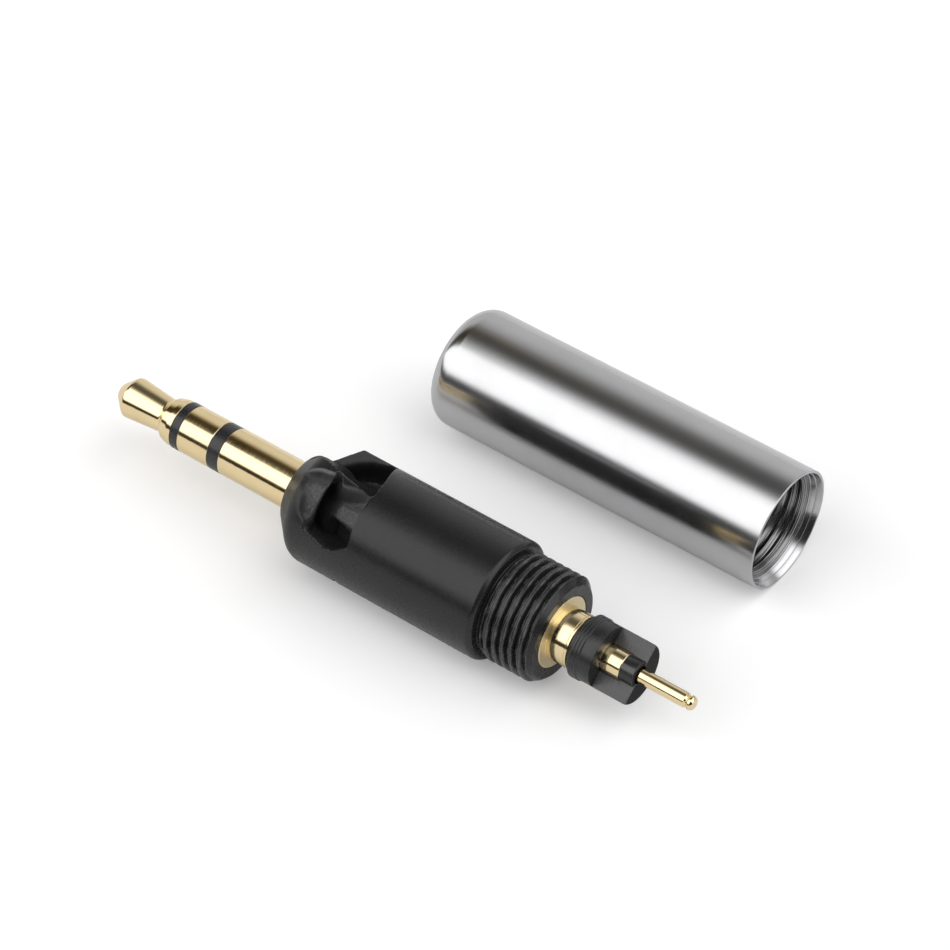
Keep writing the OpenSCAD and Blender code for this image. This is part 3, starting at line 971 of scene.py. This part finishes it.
def lock_body():
    """The body turned from its outline, then pressed in at the lock and cut at the thread."""
    corners = [
        (0, SHANK_R + FIT, 0),
        (0, NOSE_R, 0.22),
        (NOSE_CONE, BODY_R, 0.9),
        (BODY_LEN, BODY_R, 0.3),
        (BODY_LEN, THREAD_R - THREAD_DEPTH, 0.04),
        (THREAD_X, THREAD_R - THREAD_DEPTH, 0),
        (THREAD_X + THREAD_RUN_IN, THREAD_R, 0),
        (BODY_END_X - END_CHAMFER, THREAD_R, 0),
        (BODY_END_X, THREAD_R - END_CHAMFER, 0.05),
        (BODY_END_X, FLANGE_R + FIT, 0.02),
        (BODY_END_X - FLANGE_T, FLANGE_R + FIT, 0),
        (BODY_END_X - FLANGE_T, SHANK_R + FIT, 0),
    ]
    outline = rounded(corners)
    last = next(i for i, point in enumerate(outline) if point.x > BODY_END_X - NEAR)
    skin = refined(outline[:last + 1], lambda x: table_at(BODY_ROWS, x))
    shape = spun(skin + outline[last + 1:], BODY_STEPS)
    cut = shape.verts.layers.float.new("cut")
    coarse_and_painted_light = shape.verts.layers.float.new("coarse_and_painted_light")
    painted_highlight = shape.verts.layers.float.new("painted_highlight")
    painted_shade = shape.verts.layers.float.new("painted_shade")
    pressed = []
    tongues = []
    for vert in shape.verts:
        x, y, z = vert.co
        radius = math.hypot(y, z)
        clock = math.degrees(math.atan2(y, z))
        made = radius
        if 0 <= x < LOCK_REAR + LOCK_MARGIN and radius > SLOT_R[1][1]:
            made = lock_skin(x, clock, radius)
            deep = share(radius - made, *CUT_DEPTH)
            vert[cut] = max(deep, share(x, *NOSE_FADE) * NOSE_DULL)
            # painted light on the coarse lower hollows and pocket ramps
            vert[coarse_and_painted_light] = coarse_lit_share(x, clock, made) * deep
            # painted highlight along the arched rim of each hollow
            vert[painted_highlight] = arch_share(x, clock)
            # painted shade, darker where the skin is pressed in deep
            vert[painted_shade] = share(radius - made, *PAINTED_SHADE_DEPTH)
            made += deep * MOULD_ROUGH * noise.fractal(vert.co * MOULD_SCALE, *MOULD_NOISE)
            round_by, along_by = undercut(x, clock, made)
            vert.co.x += along_by
            vert.co.yz = Matrix.Rotation(-math.radians(round_by), 2) @ vert.co.yz
            if x > FRONT_KEPT:
                pressed.append(vert)
            side = arc_mm(facing(clock) + CAMERA_SIDE)
            if TONGUE_X[0] < x < TONGUE_X[1] and TONGUE_SIDE[0] < side < TONGUE_SIDE[1]:
                # painted shade on the tongues, which dims their highlight
                vert[painted_shade] = max(vert[painted_shade], TONGUE_PAINTED_SHADE * deep)
                tongues.append(vert)
        elif THREAD_X < x and radius > FLANGE_R + SEAT_KEPT:
            made = min(radius, thread_skin(x, clock, THREAD_R, True))
            made += THREAD_ROUGH * noise.noise(vert.co * THREAD_SCALE)
        if made < radius:
            vert.co.y *= made / radius
            vert.co.z *= made / radius
    for softened in LOCK_PASSES * [pressed] + TONGUE_PASSES * [tongues]:
        bmesh.ops.smooth_vert(
            shape, verts=softened, factor=0.5, use_axis_x=True, use_axis_y=True, use_axis_z=True,
        )
    bmesh.ops.recalc_face_normals(shape, faces=shape.faces)
    highlight_edges(shape)
    return shape


finished(lock_body(), "twist_lock_body", "lock_body", BODY)

# Barrel: turned shell with its inner thread. The steps behind the lip are (place behind it,
# depth under its inner edge)

LIP_RINGS = (-0.27, -0.52)
RING_WIDTH = 0.04
RING_DEPTH = 0.03
LIP_STEP = 0.22
LIP_STEPS = [(0.03, 0.07), (0.09, 0.09), (0.12, 0.15), (0.18, 0.17)]
BORE_ROW = 0.03
BARREL_STEPS = 240
THREAD_FADE = 0.4
BORED_SHADE_BAND = 0.05
THREAD_BAND = 0.04


def lip_rings():
    """Corners of the fine grooves turned into the coned lip."""
    slope = (LIP_MOUTH_R - LIP_INNER_R) / BARREL_LIP
    groove = [
        (RING_WIDTH, 0), (RING_WIDTH / 2, RING_DEPTH),
        (-RING_WIDTH / 2, RING_DEPTH), (-RING_WIDTH, 0),
    ]
    corners = []
    for ring in LIP_RINGS:
        for along, deep in groove:
            corners.append((ring + along, LIP_MOUTH_R + slope * (ring + along) + deep, 0))
    return corners


def barrel():
    """The shell turned from its outline, with the thread cut out from its bore."""
    thread_end = -BARREL_LIP - BARREL_THREAD
    corners = [
        (-BARREL_LEN, CABLE_R, 0.12),
        (-BARREL_LEN, BARREL_R, 1.0),
        (0, BARREL_R, 0.03),
        (0, LIP_MOUTH_R, 0.02),
        *lip_rings(),
        (-BARREL_LIP, LIP_INNER_R, 0.01),
        *[(-BARREL_LIP - along, LIP_INNER_R - down, 0.01) for along, down in LIP_STEPS],
        (-BARREL_LIP - LIP_STEP, BARREL_BORE_R, 0.01),
        (thread_end, BARREL_BORE_R, 0),
        (BARREL_WALL - BARREL_LEN, BARREL_BORE_R, 0.1),
        (BARREL_WALL - BARREL_LEN, CABLE_R, 0.05),
    ]
    outline = rounded(corners)
    start = next(
        i for i, point in enumerate(outline)
        if point.y < BARREL_BORE_R + NEAR and point.x > thread_end
    )
    end = next(i for i, point in enumerate(outline) if point.x < thread_end + NEAR and i > start)
    bore = refined(outline[start:end + 1], lambda x: BORE_ROW)
    shape = spun(outline[:start] + bore + outline[end + 1:], BARREL_STEPS)
    bored_and_shaded = shape.verts.layers.float.new("bored_and_shaded")
    for vert in shape.verts:
        x, y, z = vert.co
        radius = math.hypot(y, z)
        # inside the bore: painted shade, and the tool rings
        vert[bored_and_shaded] = share(radius, LIP_INNER_R, LIP_INNER_R - BORED_SHADE_BAND)
        if thread_end <= x < -BARREL_LIP - LIP_STEP and radius < LIP_INNER_R - THREAD_BAND:
            clock = math.degrees(math.atan2(y, z))
            fade = min(1.0, (x - thread_end) / THREAD_FADE)
            made = radius + fade * (thread_skin(x, clock, BARREL_BORE_R, False) - BARREL_BORE_R)
            vert.co.y *= made / radius
            vert.co.z *= made / radius
    bmesh.ops.recalc_face_normals(shape, faces=shape.faces)
    bmesh.ops.translate(shape, vec=BARREL_MOUTH, verts=shape.verts)
    return shape


finished(barrel(), "screw_barrel", "barrel", CHROME)

# Studio: a white floor, and light that is graded by clock angle round the plug's axis

FLOOR_R = 1500
FLOOR_GLOW = 0.19
FLOOR_ROUGHNESS = 0.9
FLOOR_WHITE = (0.88, 0.88, 0.885)
FLOOR_MIRRORED = (0.80, 0.80, 0.805)


def studio_floor():
    """A white floor, a little darker where metal mirrors it, that keeps the object's shadow."""
    shape = bmesh.new()
    bmesh.ops.create_circle(shape, cap_ends=True, segments=64, radius=FLOOR_R * MM)
    bmesh.ops.translate(shape, vec=(0, 0, FLOOR_Z * MM), verts=shape.verts)
    mesh = bpy.data.meshes.new("studio_floor")
    shape.to_mesh(mesh)
    shape.free()
    floor = bpy.data.objects.new("studio_floor", mesh)
    bpy.context.scene.collection.objects.link(floor)
    material = bpy.data.materials.new("white_floor")
    material.use_nodes = True
    tree = material.node_tree
    shader = tree.nodes["Principled BSDF"]
    shader.inputs["Roughness"].default_value = FLOOR_ROUGHNESS
    shader.inputs["Specular IOR Level"].default_value = 0.0
    shader.inputs["Emission Color"].default_value = (1, 1, 1, 1)
    path = tree.nodes.new("ShaderNodeLightPath")
    colour = mixed(tree, path.outputs["Is Glossy Ray"], FLOOR_WHITE, FLOOR_MIRRORED)
    tree.links.new(colour, shader.inputs["Base Color"])
    glow = maths(tree, "MULTIPLY", path.outputs["Is Camera Ray"], FLOOR_GLOW)
    tree.links.new(glow, shader.inputs["Emission Strength"])
    mesh.materials.append(material)


# Levels of light by clock angle in degrees: towards the tip, over the plug and the barrel, and
# towards the solder end. A turn is how far along the axis a ray points where one of them starts
# to give way to the next, and where it has done so

WARM_DARK = (0.022, 0.018, 0.009)
TIP_SKY = [
    (-180, 0.30), (-100, 0.30), (-93, 0.02), (-74.5, 0.02), (-65.5, 0.92), (-57, 0.95), (-21, 0.95),
    (-18, 0.65), (-14, 0.20), (-10, 0.057), (-5, WARM_DARK), (14, WARM_DARK),
    (24, (0.055, 0.043, 0.022)), (36, (0.23, 0.215, 0.19)), (44, 0.33), (60, 0.36), (92, 0.34),
    (100, 0.30), (180, 0.30),
]
SKY = [
    (-180, 0.30), (-100, 0.30), (-93, 0.02), (-76, 0.02), (-67, 0.92), (-58, 0.95), (-18, 0.95),
    (-12, 0.90), (-8, 0.74), (-4, 0.52), (0, 0.31), (4, 0.17), (8, 0.10), (14, 0.055), (26, 0.05),
    (36, 0.075), (44, 0.175), (52, 0.27), (62, 0.35), (80, 0.37), (92, 0.35), (100, 0.30),
    (180, 0.30),
]
END_SKY = [
    (-180, 0.30), (-100, 0.30), (-92, 0.01), (-30, 0.01), (-14, 0.95), (44, 0.95), (56, 0.22),
    (92, 0.22), (100, 0.30), (180, 0.30),
]
TIP_TURN = (-0.445, -0.40)
END_TURN = (0.0, 0.15)
SKY_LEVEL = 2.0


def sky_ramp(tree, place, sky):
    """The light's level by clock angle round the plug's axis, as a colour socket."""
    low, high = sky[0][0], sky[-1][0]
    clock = maths(tree, "ARCTAN2", place.outputs["Y"], place.outputs["Z"])
    ramp = tree.nodes.new("ShaderNodeValToRGB")
    along = ranged(tree, clock, math.radians(low), math.radians(high), 0, 1)
    tree.links.new(along, ramp.inputs["Fac"])
    stops = ramp.color_ramp.elements
    while len(stops) > 1:
        stops.remove(stops[-1])
    for index, (angle, level) in enumerate(sky):
        place_on_ramp = (angle - low) / (high - low)
        stop = stops[0] if index == 0 else stops.new(place_on_ramp)
        stop.position = place_on_ramp
        stop.color = (*(level if isinstance(level, tuple) else 3 * (level,)), 1)
    return ramp.outputs["Color"]


def studio_world():
    """The light by clock angle round the plug's axis, and plain white where the camera sees it."""
    world = bpy.data.worlds.new("studio")
    bpy.context.scene.world = world
    world.use_nodes = True
    tree = world.node_tree
    back = tree.nodes["Background"]
    place = tree.nodes.new("ShaderNodeSeparateXYZ")
    ray = tree.nodes.new("ShaderNodeTexCoord").outputs["Generated"]
    tree.links.new(ray, place.inputs["Vector"])
    light = sky_ramp(tree, place, TIP_SKY)
    for (start, full), sky in ((TIP_TURN, SKY), (END_TURN, END_SKY)):
        turned = ranged(tree, place.outputs["X"], start, full, 0, 1)
        light = mixed(tree, turned, light, sky_ramp(tree, place, sky))
    tree.links.new(light, back.inputs["Color"])
    back.inputs["Strength"].default_value = SKY_LEVEL
    white = tree.nodes.new("ShaderNodeBackground")
    white.inputs["Color"].default_value = (1, 1, 1, 1)
    path = tree.nodes.new("ShaderNodeLightPath")
    choice = tree.nodes.new("ShaderNodeMixShader")
    tree.links.new(path.outputs["Is Camera Ray"], choice.inputs["Fac"])
    tree.links.new(back.outputs["Background"], choice.inputs[1])
    tree.links.new(white.outputs["Background"], choice.inputs[2])
    tree.links.new(choice.outputs["Shader"], tree.nodes["World Output"].inputs["Surface"])


CAMERA_AT = Vector((83.33, -97.96, 132.45))
CAMERA_TILT = math.radians(44.332)
CAMERA_TURN = math.radians(36.728)
LENS = 145.48
SENSOR = 36
NEAREST = 1.0


def studio_camera():
    """The camera as it was fitted to the outlines of the shaft, the body and the barrel."""
    data = bpy.data.cameras.new("camera")
    data.sensor_width = SENSOR
    data.lens = LENS
    data.clip_start = NEAREST * MM
    camera = bpy.data.objects.new("camera", data)
    camera.location = CAMERA_AT * MM
    camera.rotation_euler = (CAMERA_TILT, 0, CAMERA_TURN)
    bpy.context.scene.collection.objects.link(camera)
    bpy.context.scene.camera = camera


studio_floor()
studio_world()
studio_camera()
bpy.context.scene.view_settings.view_transform = "Standard"
